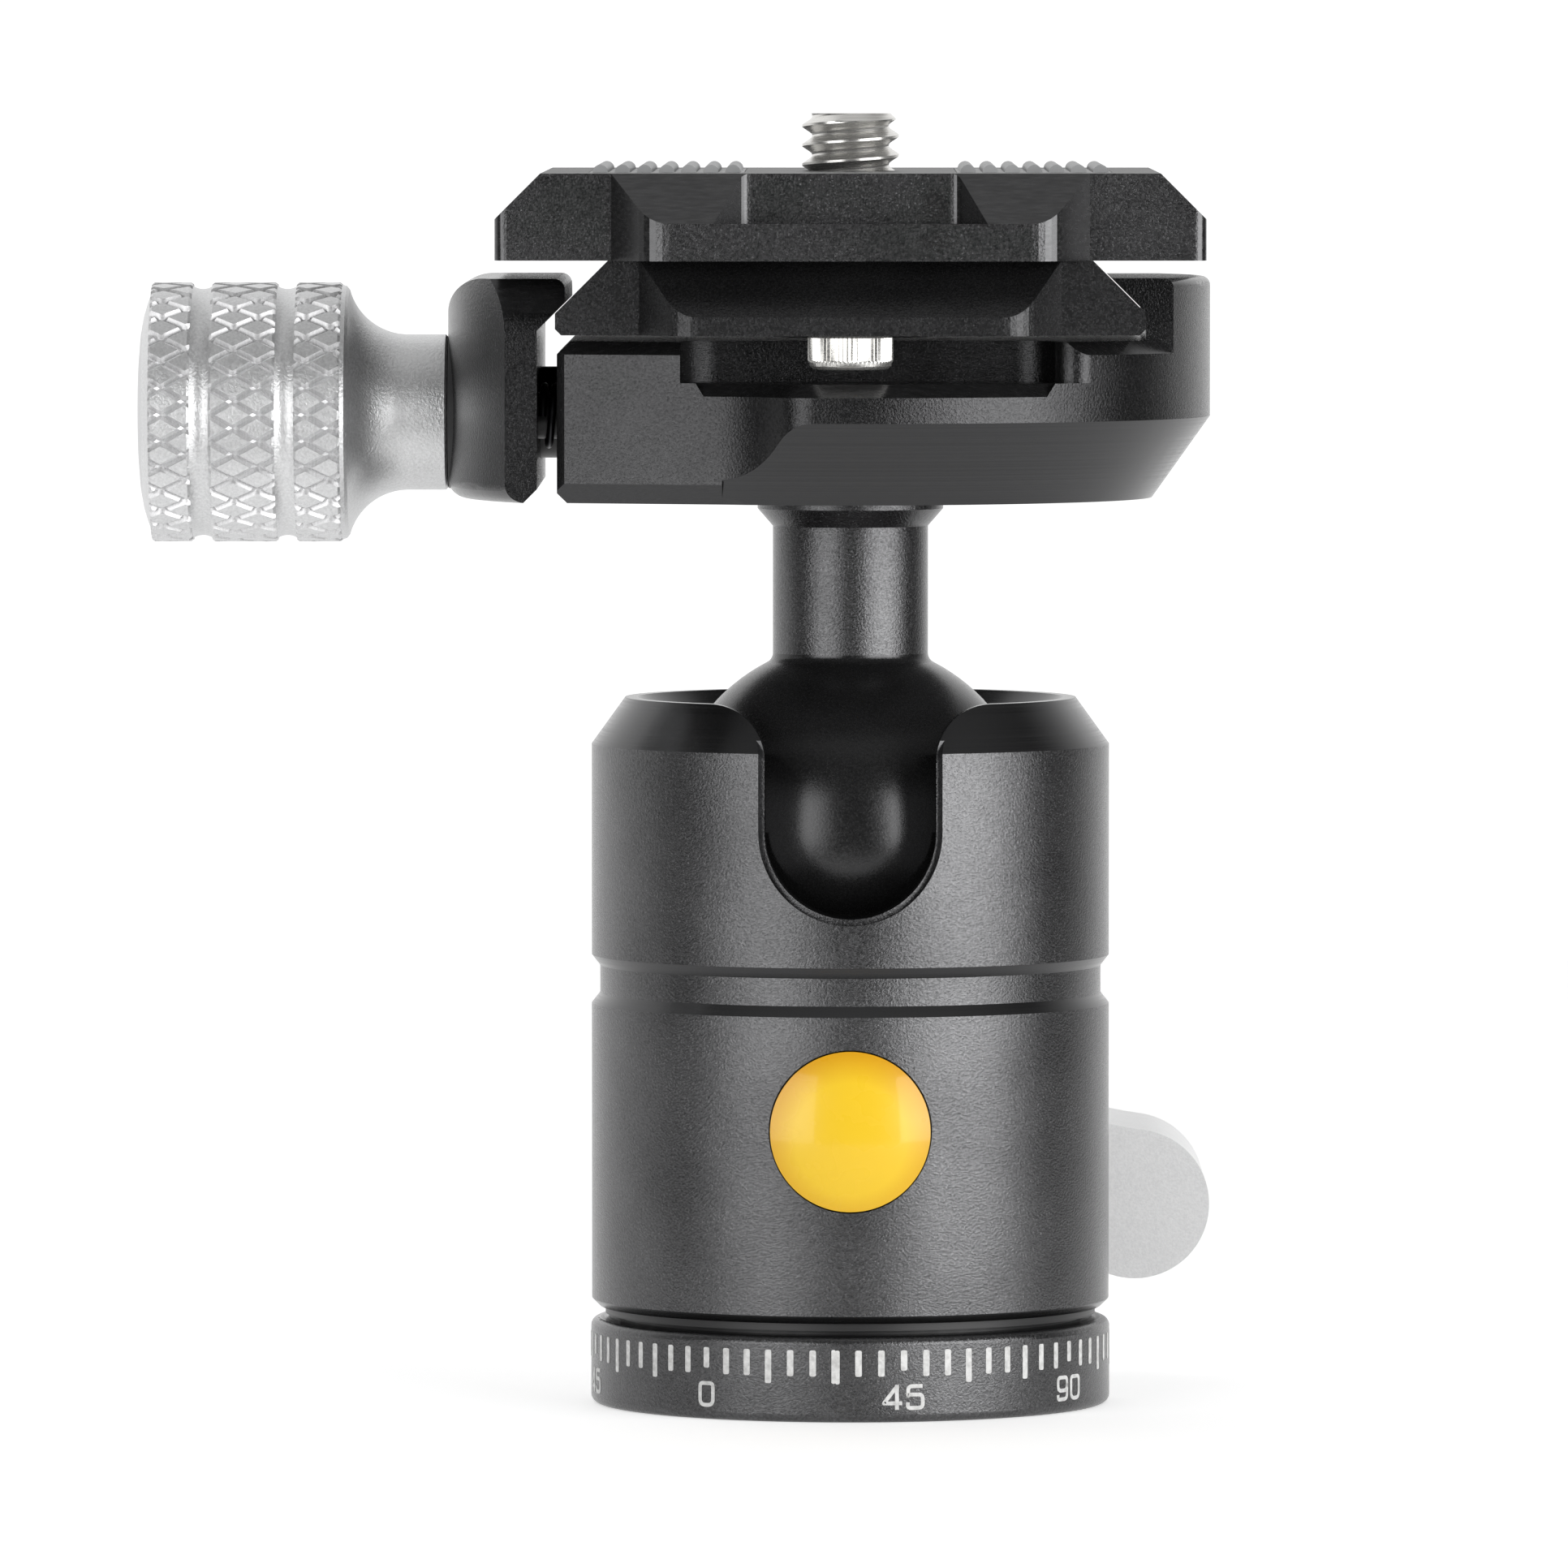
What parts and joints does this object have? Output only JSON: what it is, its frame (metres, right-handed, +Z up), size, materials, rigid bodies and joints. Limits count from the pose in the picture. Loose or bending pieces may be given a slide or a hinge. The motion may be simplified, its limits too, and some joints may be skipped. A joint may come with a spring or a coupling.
{
  "type": "tripod ball head",
  "caption": "Compact tripod ball head with a degree-marked pan base, a lever lock, a side notch for the stem and a screw-knob dovetail clamp that holds a quick release plate.",
  "frame": {"origin": "centre of the base's bottom face, at the mouth of the tripod thread", "axes": "+Z up, along the tripod thread and the camera screw; -Y is the front, with the badge and the notch; -X is the side of the clamp knob; the lock lever is at +Y"},
  "size_m": [0.0707, 0.061, 0.0847],
  "materials": {
    "black_anodised": "fine bead-blasted, black anodised",
    "dark_machined": "turned, black anodised, satin",
    "silver_anodised": "silver anodised, satin",
    "bright_steel": "bright, fine turned",
    "dark_steel": "black oxide",
    "slip_plastic": "plain, off-white",
    "pad_rubber": "matte, ribbed",
    "amber_badge": "clear gloss over amber"
  },
  "bodies": {
    "base": {"base_disc": "black_anodised", "lower_pan_washer": "slip_plastic", "upper_pan_washer": "slip_plastic", "pan_nut": "bright_steel"},
    "shell": {"housing": "black_anodised", "bottom_cover": "dark_machined", "shaft_bush": "silver_anodised", "badge_dome": "amber_badge"},
    "lever": {"lock_shaft": "bright_steel", "lock_lever": "silver_anodised", "lever_washer": "slip_plastic", "lever_screw": "dark_steel"},
    "wedge": {"wedge_block": "bright_steel"},
    "cup": {"cup_carrier": "silver_anodised", "ball_cup": "slip_plastic"},
    "pan_brake": {"pan_shoe": "silver_anodised"},
    "ball": {"ball_stem": "dark_machined"},
    "clamp": {"clamp_body": "black_anodised", "clamp_bolt": "dark_steel"},
    "jaw": {"sliding_jaw": "black_anodised", "guide_pins": "bright_steel", "jaw_springs": "bright_steel"},
    "knob": {"clamp_knob": "silver_anodised", "clamp_screw": "dark_steel", "knob_washer": "slip_plastic"},
    "quick_plate": {"plate": "black_anodised", "rubber_pads": "pad_rubber", "stop_screws": "bright_steel"},
    "camera_bolt": {"camera_screw": "bright_steel"}
  },
  "joints": [
    {"name": "pan", "type": "hinge", "parent": "base", "child": "shell", "pos_m": [0, 0, 0.0064], "axis": [0, 0, 1], "continuous": true},
    {"name": "lever_turn", "type": "hinge", "parent": "shell", "child": "lever", "pos_m": [0, 0.02, 0.0189], "axis": [0, -1, 0], "range_deg": [0, 75]},
    {"name": "wedge_travel", "type": "slide", "parent": "shell", "child": "wedge", "axis": [0, 1, 0], "range_m": [0, 0.000834]},
    {"name": "cup_drop", "type": "slide", "parent": "shell", "child": "cup", "axis": [0, 0, -1], "range_m": [0, 0.0001775]},
    {"name": "brake_lift", "type": "slide", "parent": "shell", "child": "pan_brake", "axis": [0, 0, 1], "range_m": [0, 0.0001775]},
    {"name": "ball_tilt", "type": "hinge", "parent": "shell", "child": "ball", "pos_m": [0, 0, 0.038], "axis": [1, 0, 0], "range_deg": [-30, 90]},
    {"name": "stem_twist", "type": "hinge", "parent": "ball", "child": "clamp", "pos_m": [0, 0, 0.05955], "axis": [0, 0, 1], "continuous": true},
    {"name": "knob_turn", "type": "hinge", "parent": "jaw", "child": "knob", "pos_m": [-0.0264, 0, 0.0651], "axis": [-1, 0, 0], "range_deg": [0, 1260]},
    {"name": "jaw_slide", "type": "slide", "parent": "clamp", "child": "jaw", "axis": [-1, 0, 0], "range_m": [0, 0.0035], "deforming": ["jaw_springs"]},
    {"name": "plate_slide", "type": "slide", "parent": "clamp", "child": "quick_plate", "axis": [0, 1, 0], "range_m": [-0.005, 0.005]},
    {"name": "camera_screw_turn", "type": "hinge", "parent": "quick_plate", "child": "camera_bolt", "pos_m": [0, 0, 0.0742], "axis": [0, 0, 1], "continuous": true}
  ],
  "couplings": [
    {"joint": "wedge_travel", "follows": "lever_turn", "m_per_rad": 0.00063662},
    {"joint": "cup_drop", "follows": "lever_turn", "m_per_rad": 0.00013532},
    {"joint": "brake_lift", "follows": "lever_turn", "m_per_rad": 0.00013532},
    {"joint": "knob_turn", "follows": "jaw_slide", "rad_per_m": 6283.2}
  ]
}
